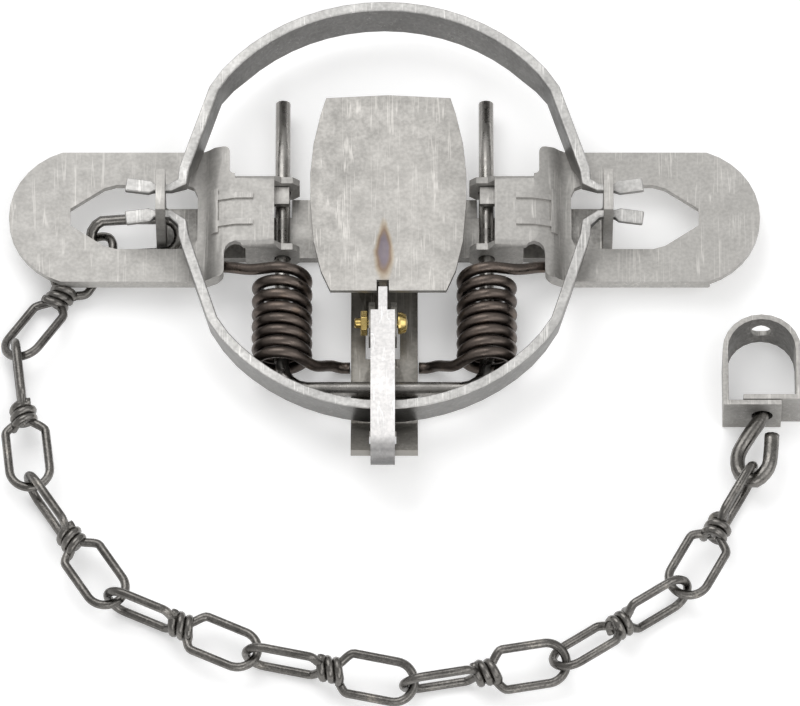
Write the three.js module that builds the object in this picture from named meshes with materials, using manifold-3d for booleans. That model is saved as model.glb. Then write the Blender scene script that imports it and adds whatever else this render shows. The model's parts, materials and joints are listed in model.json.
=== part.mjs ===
import * as THREE from 'three';
import { mergeVertices } from 'three/addons/utils/BufferGeometryUtils.js';
import Module from 'manifold-3d';

// Double coil-spring leghold trap, set, with its chain and swivel bracket.
// Millimetres, +Z up. The origin is on the ground, midway between the two jaw ears.
// X runs from lever to lever, and the dog is at the front, towards -Y.

const wasm = await Module();
wasm.setup();

// General clearances and wire facets
const seatGap = 0.3;
const overrun = 2;
const weld = 0.5;
const wireSides = 6;
const roundSteps = 20;
const fullTurn = 360;

// Base strap with its two upturned ears
const strapHalfLength = 72;
const strapThickness = 3;
const strapHalfWidth = 10.5;
const strapBend = 3.5;
const earHalfWidth = 7.3;
const earTop = 29.5;
const earShoulder = 6;
const earNeck = 11;
const hookLength = 6.4;
const hookReach = 11;
const hookThickness = 2;

// Jaw pivots in the ears
const pivotSpread = 4.7;
const pivotHeight = 21;
const pivotHoleRadius = 2.1;

// Chain ring hole in the ears
const ringWire = 3.4;
const ringHoleRadius = 2.3;
const ringHoleHeight = 10;

// Spring rod, one U of round bar under both coils
const rodDiameter = 4.7;
const rodSpread = 32.2;
const rodRearEnd = 43;
const rodPastSpring = 5.2;
const rodBend = 8;
const rodSeat = 0.4;

// Cross plate that carries the pan post, the rod and the dog
const plateThickness = 2.2;
const plateHalfWidth = 10.5;
const plateRear = 11;
const plateStep = 1.3;
const plateStepStart = -13;
const plateStepEnd = -16;
const plateFootInset = 3.2;
const plateWallRun = 11.2;
const plateWallRise = 14.8;
const lipRun = 8.3;
const lipRise = 4.4;
const lipBar = 3.5;
const lipSlotInset = 2;
const dimpleRadius = 4.8;
const dimpleHeight = 1.2;
const dimpleBehindRod = 7.4;

// Rivets through the plate and the strap
const rivetRadius = 2.2;
const rivetHeadRadius = 3.8;
const rivetHeadHeight = 1.6;
const rivetPlaces = [4.5, -4.5];

// Pan post ears, folded up from the cross plate
const postEarRear = -32.7;
const postEarFront = -44.5;
const postEarTop = 16;
const postEarThickness = 2;
const postEarGap = 4.9;
const postCentre = -0.5;
const postWindowFront = -47.2;
const postWindowSide = 0.95;

// Pan screw and nut
const screwPlace = -38.5;
const screwHeight = 11.8;
const screwDiameter = 3.2;
const screwHeadDiameter = 7;
const screwHeadHeight = 3.2;
const screwTail = 1.7;
const nutAcross = 8;
const nutThickness = 2.2;

// Pan and the post plate welded under it
const panTop = 22.6;
const panThickness = 1.6;
const panFront = -32.6;
const panRear = 37.6;
const panHalfWidth = 24.6;
const panCentre = 1.2;
const sideShares = [
  [0.74, 0], [0.86, 0.1], [0.955, 0.25], [1, 0.45], [1, 0.6], [0.96, 0.75], [0.87, 0.9], [0.8, 0.985],
];
const panNotchWidth = 3.8;
const panNotchDepth = 3.8;
const panPostThickness = 2.4;
const postEyeStart = 110;
const postEyeEnd = 315;

// Dog, a strap curled round the bar of the lip
const dogWidth = 7.6;
const dogThickness = 2.2;
const dogCurlGap = 0.45;
const dogArch = 28.2;
const dogArchReach = 0.9;
const dogArchInset = 10;
const dogCurlStart = 320;
const dogCurlEnd = 105;
const dogShoulder = -40;
const dogShoulderHeight = 23.8;
const tongueWidth = 2.8;
const tongueEnd = -30.9;
const tongueDrop = 0.5;

// Levers, pressed sheet with a window for the jaws
const sheet = 2.2;
const leverTip = 118.6;
const leverHalfWidth = 23.2;
const leverEndRadius = 24.5;
const leverTop = 11;
const leverBend = 60;
const armTop = 16.5;
const armCorner = 3;
const armInner = 34.8;
const rampShares = [[0, 1], [0.48, 0.96], [0.62, 0.78], [0.75, 0.58], [0.82, 0.24], [0.88, 0.04], [1, 0]];
const tabInner = 50.6;
const tabCorner = 2;
const windowInner = 59;
const windowNeck = 88.5;
const windowOuter = 99.2;
const windowHalfWidth = 11.5;
const windowEndHalf = 3;
const railSkirt = 1.8;
const skirtOuter = 102.5;
const flangeInner = 10.8;
const flangeBottom = 2.4;
const flangeToe = 26.8;
const flangeToeTop = 13.4;
const flangeOuter = 43.8;
const legNotchRadius = 3.4;
const ribHeight = 0.8;
const ribWidth = 2;
const ribSpread = 4.7;
const ribBarHalf = 7.8;
const ribInner = 41.5;
const ribBarInner = 52.6;

// Coil springs
const springWire = 3.6;
const springOuter = 19.2;
const springGround = 0.2;
const springRear = -21.6;
const coilShares = [1.28, 1.36, 1.28, 1.125, 1.125, 1.125, 1.125];
const springSteps = 8;
const springSides = 5;
const springLegEnd = 52.2;
const springLegDrop = 24;
const springLegSplay = 2.3;
const springFootDrop = 46;
const springFootHeight = 2.25;
const springFootSplay = 4.5;
const straightShare = 0.28;

// Jaws, flared strip bent to a bow
const jawPastRod = 13.8;
const jawDroop = 1.7;
const jawHalfWidth = 65.6;
const jawBowRadius = 65.6;
const jawStrip = 3.3;
const jawHeight = 11.8;
const jawShankHeight = 9.4;
const jawTop = 21.5;
const jawFlare = 6;
const jawTipWidth = 2.6;
const jawTipHeight = 2.4;
const jawTipReach = 81.5;
const jawTongueWidth = 4.6;
const jawTongueHeight = 1.9;
const jawTongueStart = 74;
const jawBowSteps = 18;
const jawBowStart = 38.3;
const shankShares = [
  [0.9975, 0.1, 0.42], [0.99, 0.16, 0.55], [0.965, 0.235, 1], [0.9, 0.42, 1], [0.848, 0.565, 1],
];

// Chain of double-loop links
const chainWire = 2.8;
const slackShares = [0.39, 0.47, 0.25, 0.29, 0.18, 0.21, 0.34, 0.29, 0.32];
const chainHeight = 7.9;
const loopWidth = 12.6;
const loopLap = 2;
const knotRadius = 3;
const knotWire = 2.8;
const ringInner = -64.7;
const ringLow = 4;
const ringDip = 1.4;
const chainStartX = -89.1;
const chainStartY = -5.5;
const chainPitch = 47.5;
const pitchShares = [1.023, 0.987, 1.013, 0.998, 1.052, 1.006, 0.962, 0.973];
const headings = [-123.2, -83.5, -57.3, -24.6, -12, 9.8, 33.5, 61.7];
const firstLinkStart = 5.1;
const firstLinkKnot = 4.45;
const firstLinkEnd = 7.6;
const startRolls = [36, 90, 90, 90, 90, 100, -36, 0];
const endRolls = [27, 0, 0, 0, 28, 26, 76, 90];
const firstUntwist = 12;

// Swivel eye and bracket at the free end
const eyeWire = 4.8;
const eyeWidth = 10;
const eyeLength = 20;
const eyeTilt = 0.3;
const shankShare = 0.37;
const eyeShares = [
  [-0.03, 0.8], [-0.4, 0.45], [-0.33, 0.14], [0.09, -0.02], [0.52, 0.17], [0.62, 0.45], [0.66, 0.74],
];
const eyeHeadRadius = 4.6;
const eyeHeadHeight = 2.4;
const bracketHalfWidth = 12.3;
const bracketLength = 32;
const bracketHeight = 15.5;
const bracketThickness = 1.7;
const bracketHoleRadius = 3.3;
const bracketLap = 6;

const radians = THREE.MathUtils.degToRad;

// Solids from geometries and back, for cuts and joins
function solidOf(geometry) {
  const bare = new THREE.BufferGeometry();
  bare.setAttribute('position', geometry.getAttribute('position').clone());
  if (geometry.index) bare.setIndex(geometry.index.clone());
  const merged = mergeVertices(bare);
  const vertProperties = Float32Array.from(merged.getAttribute('position').array);
  const triVerts = Uint32Array.from(merged.index.array);
  return new wasm.Manifold(new wasm.Mesh({ numProp: 3, vertProperties, triVerts }));
}

function geometryOf(solid) {
  const { vertProperties, triVerts } = solid.getMesh();
  const geometry = new THREE.BufferGeometry();
  geometry.setAttribute('position', new THREE.BufferAttribute(Float32Array.from(vertProperties), 3));
  geometry.setIndex(new THREE.BufferAttribute(Uint32Array.from(triVerts), 1));
  geometry.computeVertexNormals();
  return geometry;
}

const joined = (...geometries) => geometries.map(solidOf).reduce((sum, next) => sum.add(next));

function cut(solid, ...geometries) {
  return geometries.map(solidOf).reduce((rest, next) => rest.subtract(next), solid);
}

// Prisms: flat along Z, wall along Y from an X-Z outline, rib along X from a Y-Z outline
function flat(outline, low, high, hole) {
  const shape = new THREE.Shape(outline.map(([x, y]) => new THREE.Vector2(x, y)));
  if (hole) shape.holes.push(new THREE.Path(hole.map(([x, y]) => new THREE.Vector2(x, y))));
  const geometry = new THREE.ExtrudeGeometry(shape, { depth: high - low, bevelEnabled: false });
  return geometry.translate(0, 0, low);
}

const wall = (outline, front, rear) => flat(outline, -rear, -front).rotateX(Math.PI / 2);

function rib(outline, low, high) {
  const turn = new THREE.Matrix4().makeBasis(
    new THREE.Vector3(0, 1, 0), new THREE.Vector3(0, 0, 1), new THREE.Vector3(1, 0, 0));
  return flat(outline, low, high).applyMatrix4(turn);
}

function box(x0, x1, y0, y1, z0, z1) {
  const geometry = new THREE.BoxGeometry(x1 - x0, y1 - y0, z1 - z0);
  return geometry.translate((x0 + x1) / 2, (y0 + y1) / 2, (z0 + z1) / 2);
}

// Round bar along one axis
function bar(axis, radius, from, to, a, b, steps = roundSteps) {
  const geometry = new THREE.CylinderGeometry(radius, radius, to - from, steps);
  const middle = (from + to) / 2;
  if (axis === 'x') return geometry.rotateZ(Math.PI / 2).translate(middle, a, b);
  if (axis === 'y') return geometry.translate(a, middle, b);
  return geometry.rotateX(Math.PI / 2).translate(a, b, middle);
}

// Band of sheet below a path of outer points, with square corners
function band(path, thickness) {
  const under = path.map((point, index) => {
    const before = path[Math.max(index - 1, 0)];
    const after = path[Math.min(index + 1, path.length - 1)];
    const first = new THREE.Vector2(point[0] - before[0], point[1] - before[1]);
    const last = new THREE.Vector2(after[0] - point[0], after[1] - point[1]);
    if (index === 0) first.copy(last);
    if (index === path.length - 1) last.copy(first);
    first.normalize();
    last.normalize();
    const normal = new THREE.Vector2(first.y + last.y, -first.x - last.x).normalize();
    const stretch = thickness / normal.dot(new THREE.Vector2(last.y, -last.x));
    return [point[0] + normal.x * stretch, point[1] + normal.y * stretch];
  });
  return [...path, ...under.reverse()];
}

// Closed solid through rings of points, each ring with as many points
function skin(rings) {
  const count = rings[0].length;
  const positions = rings.flat().flatMap((point) => [point.x, point.y, point.z]);
  const faces = [];
  for (let ring = 0; ring < rings.length - 1; ring += 1) {
    for (let side = 0; side < count; side += 1) {
      const a = ring * count + side;
      const b = ring * count + (side + 1) % count;
      faces.push(a, b, b + count, a, b + count, a + count);
    }
  }
  const last = (rings.length - 1) * count;
  for (let side = 1; side < count - 1; side += 1) {
    faces.push(0, side + 1, side, last, last + side, last + side + 1);
  }
  const geometry = new THREE.BufferGeometry();
  geometry.setAttribute('position', new THREE.Float32BufferAttribute(positions, 3));
  geometry.setIndex(faces);
  return geometry;
}

// Round wire through points, its section kept square to the path and free of twist
function wireThrough(points, diameter, sides) {
  const tangents = points.map((point, index) => {
    const before = points[Math.max(index - 1, 0)];
    const after = points[Math.min(index + 1, points.length - 1)];
    return after.clone().sub(before).normalize();
  });
  const up = new THREE.Vector3(0, 0, 1);
  if (Math.abs(tangents[0].z) > Math.SQRT1_2) up.set(0, 1, 0);
  let side = up.clone().cross(tangents[0]).normalize();
  const rings = points.map((point, index) => {
    const tangent = tangents[index];
    side = side.clone().sub(tangent.clone().multiplyScalar(side.dot(tangent))).normalize();
    const other = tangent.clone().cross(side);
    return Array.from({ length: sides }, (_, corner) => {
      const angle = (corner / sides) * 2 * Math.PI;
      return point.clone()
        .addScaledVector(side, Math.cos(angle) * diameter / 2)
        .addScaledVector(other, Math.sin(angle) * diameter / 2);
    });
  });
  return skin(rings);
}

// Round bar swept along a curve
function rodAlong(points, diameter, steps, sides) {
  const section = new THREE.Shape();
  section.absarc(0, 0, diameter / 2, 0, 2 * Math.PI);
  const path = new THREE.CatmullRomCurve3(points, false, 'centripetal');
  return new THREE.ExtrudeGeometry(section, { steps, curveSegments: sides, extrudePath: path });
}

// Long loop of wire lying flat, from x = 0 to x = length between the middles of its end bars
function longLoop(length, width, wire) {
  const steps = 16;
  const radius = width / 2;
  const geometry = new THREE.TorusGeometry(radius, wire / 2, wireSides, steps);
  const places = geometry.getAttribute('position');
  const half = length / 2 - radius;
  for (let index = 0; index < places.count; index += 1) {
    const x = places.getX(index);
    const push = Math.abs(x) < wire / steps ? 0 : Math.sign(x) * half;
    places.setX(index, x + push + length / 2);
  }
  return geometry;
}

// The same piece on the other side of the plane x = 0
function mirrored(geometry) {
  const copy = geometry.clone().scale(-1, 1, 1);
  const corners = copy.index.array;
  for (let face = 0; face < corners.length; face += 3) {
    [corners[face], corners[face + 1]] = [corners[face + 1], corners[face]];
  }
  return copy;
}

// Place along Y of the spring's wire after so many degrees from the end of its leg
function coilPlace(turned) {
  const turns = (turned - springLegDrop) / fullTurn;
  const whole = Math.min(Math.max(Math.floor(turns), 0), coilShares.length - 1);
  const before = coilShares.slice(0, whole).reduce((sum, share) => sum + share, 0);
  return springRear - (before + (turns - whole) * coilShares[whole]) * springWire;
}

function arc(x, y, radius, from, to, steps) {
  return Array.from({ length: steps + 1 }, (_, index) => {
    const angle = radians(from + (to - from) * index / steps);
    return [x + radius * Math.cos(angle), y + radius * Math.sin(angle)];
  });
}

// Places along Y that follow one another: springs, rod, jaws, cross plate
const springRadius = (springOuter - springWire) / 2;
const springSweep = springLegDrop + springFootDrop + fullTurn * coilShares.length;
const springFront = coilPlace(springSweep) - springWire / 2;
const rodFrontBar = springFront - rodPastSpring;
const jawReach = jawPastRod - rodFrontBar;
const plateBendFoot = plateFootInset - jawReach;
const plateWallTop = plateBendFoot - plateWallRun;
const lipEnd = plateWallTop - lipRun;
const lipSlotRear = plateWallTop + lipSlotInset;

// Heights that several pieces share
const plateTopRear = strapThickness + seatGap + plateThickness;
const plateTop = plateTopRear - plateStep;
const rodHeight = plateTop + rodDiameter / 2 + rodSeat;
const springHeight = springOuter / 2 + springGround;
const postOuter = postEarGap / 2 + postEarThickness;
const lipAngle = Math.atan2(lipRise, plateWallTop - lipEnd);
const onLip = (along, above) => [
  lipEnd + along * Math.cos(lipAngle) + above * Math.sin(lipAngle),
  plateTop + plateWallRise + lipRise - along * Math.sin(lipAngle) + above * Math.cos(lipAngle),
];
const [dogPivot, dogPivotHeight] = onLip(lipBar / 2, -plateThickness / 2);

// Materials
function metal(color, roughness, metalness) {
  return new THREE.MeshStandardMaterial({ color, roughness, metalness });
}

const steel = (color, roughness = 0.42) => metal(color, roughness, 0.9);
const brass = () => metal(0xc2a542, 0.3, 1);
const platedColor = 0xb3afa8;
const jawColor = 0xc9c6c2;
const springColor = 0x5c534d;
const chainColor = 0x6f6963;

// Base strap: bent bar, ears, pivot holes and the two hooks lanced up over the spring rod
function baseStrap() {
  const inner = strapHalfLength - strapThickness;
  const innerBend = strapBend - strapThickness + weld;
  const outline = [
    [-strapHalfLength, earTop],
    ...arc(-strapHalfLength + strapBend, strapBend, strapBend, 180, 270, 4),
    ...arc(strapHalfLength - strapBend, strapBend, strapBend, 270, 360, 4),
    [strapHalfLength, earTop], [inner, earTop],
    ...arc(inner - innerBend, strapThickness + innerBend, innerBend, 0, -90, 2),
    ...arc(-inner + innerBend, strapThickness + innerBend, innerBend, 270, 180, 2),
    [-inner, earTop],
  ];
  const shoulder = inner - innerBend;
  const halfPlan = [
    [strapHalfLength + overrun, earHalfWidth], [shoulder - earNeck, earHalfWidth],
    [shoulder - earNeck - earShoulder, strapHalfWidth],
  ];
  const plan = [
    ...halfPlan, ...halfPlan.map(([x, y]) => [-x, y]).reverse(),
    ...halfPlan.map(([x, y]) => [-x, -y]), ...halfPlan.map(([x, y]) => [x, -y]).reverse(),
  ];
  let solid = solidOf(wall(outline, -strapHalfWidth - overrun, strapHalfWidth + overrun));
  solid = solid.intersect(solidOf(flat(plan, -overrun, earTop + overrun)));
  const hookFront = strapHalfWidth - hookLength;
  const hookInner = rodSpread - rodDiameter / 2 - seatGap;
  for (const side of [-1, 1]) {
    for (const spread of [-pivotSpread, pivotSpread]) {
      const holeEnds = [side * (inner - overrun), side * (strapHalfLength + overrun)].sort((a, b) => a - b);
      solid = cut(solid, bar('x', pivotHoleRadius, ...holeEnds, spread, pivotHeight));
    }
    const ringEnds = [side * (inner - overrun), side * (strapHalfLength + overrun)].sort((a, b) => a - b);
    solid = cut(solid, bar('x', ringHoleRadius, ...ringEnds, 0, ringHoleHeight));
    const hookOuter = hookInner + hookReach;
    const window = [side * (hookInner - seatGap), side * hookOuter].sort((a, b) => a - b);
    const above = strapThickness + overrun;
    solid = cut(solid, box(...window, hookFront, strapHalfWidth + overrun, -overrun, above));
    const hookTop = rodHeight + rodDiameter / 2 + seatGap + hookThickness;
    const hookPath = [
      [side * (hookInner + weld), hookTop], [side * (rodSpread + rodDiameter), hookTop],
      [side * hookOuter, strapThickness], [side * (hookOuter + overrun), strapThickness],
    ];
    const path = side > 0 ? hookPath : hookPath.reverse();
    const hook = wall(band(path, hookThickness), hookFront + seatGap, strapHalfWidth);
    solid = solid.add(solidOf(hook));
  }
  for (const place of rivetPlaces) {
    solid = cut(solid, bar('z', rivetRadius + seatGap, -overrun, strapThickness + overrun, 0, place, 12));
  }
  return geometryOf(solid);
}

// Spring rod: a U of round bar, open to the rear
function springRod() {
  const z = rodHeight;
  const corner = (side) => arc(0, 0, rodBend, 0, 90, 4).map(([across, along]) => new THREE.Vector3(
    side * (rodSpread - rodBend + across), rodFrontBar + rodBend - along, z));
  const legSteps = 4;
  const leg = (side) => Array.from({ length: legSteps }, (_, index) => new THREE.Vector3(
    side * rodSpread, rodRearEnd + (rodFrontBar + rodBend - rodRearEnd) * index / legSteps, z));
  const half = (side) => [...leg(side), ...corner(side)];
  const points = [...half(-1), new THREE.Vector3(0, rodFrontBar, z), ...half(1).reverse()];
  return wireThrough(points, rodDiameter, 12);
}

// Cross plate: joggled over the strap, folded up at the front to a lip with a slot, and post ears
function crossPlate() {
  const path = [
    [lipEnd, plateTop + plateWallRise + lipRise], [plateWallTop, plateTop + plateWallRise],
    [plateBendFoot, plateTop], [plateStepEnd, plateTop], [plateStepStart, plateTopRear],
    [plateRear, plateTopRear],
  ];
  let solid = solidOf(rib(band(path, plateThickness), -plateHalfWidth, plateHalfWidth));
  const slotHalf = dogWidth / 2 + dogCurlGap;
  const slot = [
    onLip(lipBar, overrun), onLip(lipBar, -plateThickness - overrun),
    [lipSlotRear, plateTop + plateWallRise / 2], [lipSlotRear, plateTop + plateWallRise + lipRise],
  ];
  solid = cut(solid, rib(slot, postCentre - slotHalf, postCentre + slotHalf));
  const windowHalf = postOuter + postWindowSide;
  solid = cut(solid, box(postCentre - windowHalf, postCentre + windowHalf, postWindowFront, postEarRear,
    -overrun, postEarTop));
  const corner = postEarThickness;
  const foot = plateTop - plateThickness;
  const ear = [
    [postEarRear + weld, foot], [postEarRear + weld, postEarTop - corner],
    [postEarRear - corner, postEarTop], [postEarFront + corner, postEarTop],
    [postEarFront, postEarTop - corner], [postEarFront, plateTop + plateThickness],
    [postEarRear - corner * 2, foot],
  ];
  for (const side of [-1, 1]) {
    const faces = [postCentre + side * postEarGap / 2, postCentre + side * postOuter].sort((a, b) => a - b);
    solid = solid.add(solidOf(rib(ear, ...faces)));
  }
  const sag = (dimpleRadius ** 2 + dimpleHeight ** 2) / (2 * dimpleHeight);
  const rise = arc(0, 0, sag, 90, 90 - THREE.MathUtils.radToDeg(Math.asin(dimpleRadius / sag)), 3)
    .map(([across, up]) => new THREE.Vector2(Math.max(across, 0), up - sag + dimpleHeight));
  rise[0].x = 0;
  const dome = [new THREE.Vector2(0, -weld), new THREE.Vector2(dimpleRadius, -weld), ...rise.reverse()];
  const dimple = new THREE.LatheGeometry(dome, roundSteps).rotateX(Math.PI / 2);
  solid = solid.add(solidOf(dimple.translate(0, rodFrontBar + dimpleBehindRod, plateTop)));
  solid = cut(solid, bar('x', screwDiameter / 2 + seatGap, postCentre - windowHalf, postCentre + windowHalf,
    screwPlace, screwHeight));
  for (const place of rivetPlaces) {
    solid = cut(solid, bar('z', rivetRadius + seatGap, -overrun, plateTopRear + overrun, 0, place, 12));
  }
  return geometryOf(solid);
}

// Rivet that holds the cross plate on the strap, flush below
function rivet(place) {
  const top = plateTopRear;
  const profile = [
    [0, 0], [rivetRadius, 0], [rivetRadius, top + seatGap], [rivetHeadRadius, top + seatGap],
    [rivetHeadRadius * Math.SQRT1_2, top + rivetHeadHeight], [0, top + rivetHeadHeight + weld],
  ];
  const lathe = new THREE.LatheGeometry(profile.map(([r, z]) => new THREE.Vector2(r, z)), 12);
  return lathe.rotateX(Math.PI / 2).translate(0, place, 0);
}

// Pan: thin plate with bowed sides and the notch for the dog's tongue
function panPlate() {
  const length = panRear - panFront;
  const side = sideShares.map(([x, y]) => [x * panHalfWidth, panFront + y * length]);
  const notchHalf = panNotchWidth / 2;
  const notchX = postCentre;
  const outline = [
    ...side.map(([x, y]) => [panCentre + x, y]), [panCentre, panRear],
    ...side.map(([x, y]) => [panCentre - x, y]).reverse(),
    [notchX - notchHalf, panFront], [notchX - notchHalf, panFront + panNotchDepth],
    [notchX + notchHalf, panFront + panNotchDepth], [notchX + notchHalf, panFront],
  ];
  return flat(outline, panTop - panThickness, panTop);
}

// Pan post: upright plate under the pan, drilled for the screw
function panPost() {
  const top = panTop - panThickness;
  const eye = nutAcross / 2;
  const rearFoot = panFront + panNotchDepth + panPostThickness;
  const outline = [
    [rearFoot + eye * 4, top], [rearFoot, top], [rearFoot - eye, top - eye],
    ...arc(screwPlace, screwHeight, eye, postEyeStart, postEyeEnd, 7),
    [screwPlace + eye * 2, screwHeight], [rearFoot + eye * 2, top - eye],
  ];
  const half = panPostThickness / 2;
  const solid = solidOf(rib(outline, postCentre - half, postCentre + half));
  const hole = bar('x', screwDiameter / 2 + seatGap, postCentre - overrun, postCentre + overrun,
    screwPlace, screwHeight);
  return geometryOf(cut(solid, hole));
}

// Brass pan screw: domed slotted head on the right, tail through the nut on the left
function panScrew() {
  const headFace = postCentre + postOuter + seatGap;
  const tailEnd = postCentre - postOuter - seatGap * 2 - nutThickness - screwTail;
  const radius = screwHeadDiameter / 2;
  const profile = [
    [0, tailEnd], [screwDiameter / 2 * 0.8, tailEnd], [screwDiameter / 2, tailEnd + weld],
    [screwDiameter / 2, headFace], [radius, headFace], [radius, headFace + screwHeadHeight * 0.35],
    [radius * 0.8, headFace + screwHeadHeight * 0.8], [0, headFace + screwHeadHeight],
  ];
  const lathe = new THREE.LatheGeometry(profile.map(([r, x]) => new THREE.Vector2(r, x)), 16);
  const screw = lathe.rotateZ(-Math.PI / 2).translate(0, screwPlace, screwHeight);
  const slotHalf = weld;
  const slotFloor = headFace + screwHeadHeight * 0.55;
  const slot = box(slotFloor, slotFloor + screwHeadHeight, screwPlace - radius - overrun,
    screwPlace + radius + overrun, screwHeight - slotHalf, screwHeight + slotHalf);
  return geometryOf(cut(solidOf(screw), slot));
}

function panNut() {
  const face = postCentre - postOuter - seatGap;
  const corners = 6;
  const radius = nutAcross / 2;
  const nut = bar('x', radius, face - nutThickness, face, screwPlace, screwHeight, corners);
  const hole = bar('x', screwDiameter / 2 + seatGap, face - nutThickness - overrun, face + overrun,
    screwPlace, screwHeight, 16);
  return geometryOf(cut(solidOf(nut), hole));
}

// Dog: curl round the lip bar, arch over the front jaw, tongue into the pan notch
function dog() {
  const barCorner = Math.hypot(lipBar, plateThickness) / 2;
  const outerCurl = barCorner + dogCurlGap + dogThickness;
  const curl = arc(dogPivot, dogPivotHeight, outerCurl, dogCurlStart, dogCurlEnd, 12);
  const archFront = -jawReach - dogArchReach;
  const archRear = dogArchInset - jawReach;
  const path = [
    ...curl, [archFront, dogArch], [archRear, dogArch], [dogShoulder, dogShoulderHeight],
  ];
  const half = dogWidth / 2;
  const body = rib(band(path, dogThickness), postCentre - half, postCentre + half);
  const slope = (dogShoulderHeight - dogArch) / (dogShoulder - archRear);
  const tonguePath = [
    [dogShoulder - weld, dogShoulderHeight - weld * slope],
    [tongueEnd, panTop - tongueDrop],
  ];
  const tongueHalf = tongueWidth / 2;
  const tongue = rib(band(tonguePath, dogThickness), postCentre - tongueHalf, postCentre + tongueHalf);
  return geometryOf(joined(body, tongue));
}

// Lever on the right: bent sheet cut to its outline, side skirts, arm flanges and pressed ribs
function leverSolid() {
  const rampLength = leverBend - armInner;
  const ramp = rampShares.map(([x, z]) => [armInner + x * rampLength, leverTop + z * (armTop - leverTop)]);
  const profile = [...ramp, [leverTip, leverTop]];
  const reach = leverHalfWidth + overrun;
  const endX = leverTip - leverEndRadius;
  const endAngle = THREE.MathUtils.radToDeg(Math.asin(leverHalfWidth / leverEndRadius));
  const flangeFace = flangeInner + sheet;
  const notchX = tabInner - legNotchRadius;
  const notchY = flangeFace + legNotchRadius / 2;
  const rearNotch = legNotchRadius / 2;
  const tabX = tabInner + tabCorner;
  const tabY = leverHalfWidth - tabCorner;
  const outline = [
    [armInner, -flangeFace], [flangeOuter, -flangeFace],
    ...arc(notchX, -notchY, legNotchRadius, 180, 0, 6),
    ...arc(tabX, -tabY, tabCorner, 180, 270, 3),
    ...arc(endX, 0, leverEndRadius, -endAngle, endAngle, 14),
    ...arc(tabX - rearNotch, tabY, tabCorner, 90, 180, 3),
    ...arc(tabInner - rearNotch * 2, notchY, rearNotch, 360, 270, 3),
    [armInner, flangeFace],
  ];
  const corner = (windowNeck - windowInner) / 8;
  const hole = [
    [windowInner, -windowHalfWidth + corner], [windowInner + corner * 0.3, -windowHalfWidth + corner * 0.3],
    [windowInner + corner, -windowHalfWidth], [windowNeck - corner, -windowHalfWidth],
    [windowNeck, -windowHalfWidth + corner * 0.3], [windowOuter, -windowEndHalf],
    [windowOuter, windowEndHalf], [windowNeck, windowHalfWidth - corner * 0.3],
    [windowNeck - corner, windowHalfWidth], [windowInner + corner, windowHalfWidth],
    [windowInner + corner * 0.3, windowHalfWidth - corner * 0.3], [windowInner, windowHalfWidth - corner],
  ];
  const tall = armTop + overrun;
  let solid = solidOf(wall(band(profile, sheet), -reach, reach));
  solid = solid.intersect(solidOf(flat(outline, -overrun, tall, hole)));
  const deepBand = solidOf(wall(band(profile, sheet + railSkirt), -reach, reach));
  for (const side of [-1, 1]) {
    const faces = [side * (leverHalfWidth - sheet), side * leverHalfWidth].sort((a, b) => a - b);
    const rail = box(tabInner, skirtOuter, ...faces, leverTop - sheet - railSkirt, tall);
    const trimmed = solidOf(rail).intersect(solidOf(flat(outline, -overrun, tall)));
    solid = solid.add(deepBand.intersect(trimmed));
    const flangeFaces = [side * flangeInner, side * flangeFace].sort((a, b) => a - b);
    const flange = [
      [flangeToe, flangeBottom + sheet], [flangeToe + sheet, flangeBottom],
      [flangeOuter - sheet, flangeBottom], [flangeOuter, flangeBottom + sheet],
      [flangeOuter, armTop - weld * 2], [armInner, armTop - weld * 2],
      [armInner, flangeToeTop + sheet], [armInner - sheet, flangeToeTop], [flangeToe + sheet, flangeToeTop],
      [flangeToe, flangeToeTop - sheet],
    ];
    solid = solid.add(solidOf(wall(flange, ...flangeFaces)));
    solid = cut(solid, bar('y', rodDiameter / 2 + seatGap, flangeFaces[0] - overrun,
      flangeFaces[1] + overrun, rodSpread, rodHeight));
    const bend = arc(flangeFace - armCorner, armTop - armCorner, armCorner, 90, 0, 4);
    const corner = [
      ...bend, [flangeFace + overrun, armTop - armCorner], [flangeFace + overrun, tall],
      [flangeFace - armCorner, tall],
    ];
    const beyond = corner.map(([y, z]) => [side * y, z]);
    solid = cut(solid, rib(beyond, armInner - overrun, tabInner - rearNotch * 2));
  }
  const raised = solidOf(wall(band(profile.map(([x, z]) => [x, z + ribHeight]), sheet), -reach, reach));
  const ribs = [
    box(ribBarInner, ribBarInner + ribWidth, -ribBarHalf, ribBarHalf, leverTop, tall),
    ...[-1, 1].map((side) => box(ribInner, ribBarInner + weld, side * ribSpread - ribWidth / 2,
      side * ribSpread + ribWidth / 2, leverTop, tall)),
  ];
  for (const piece of ribs) solid = solid.add(raised.intersect(solidOf(piece)));
  return geometryOf(solid);
}

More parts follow.
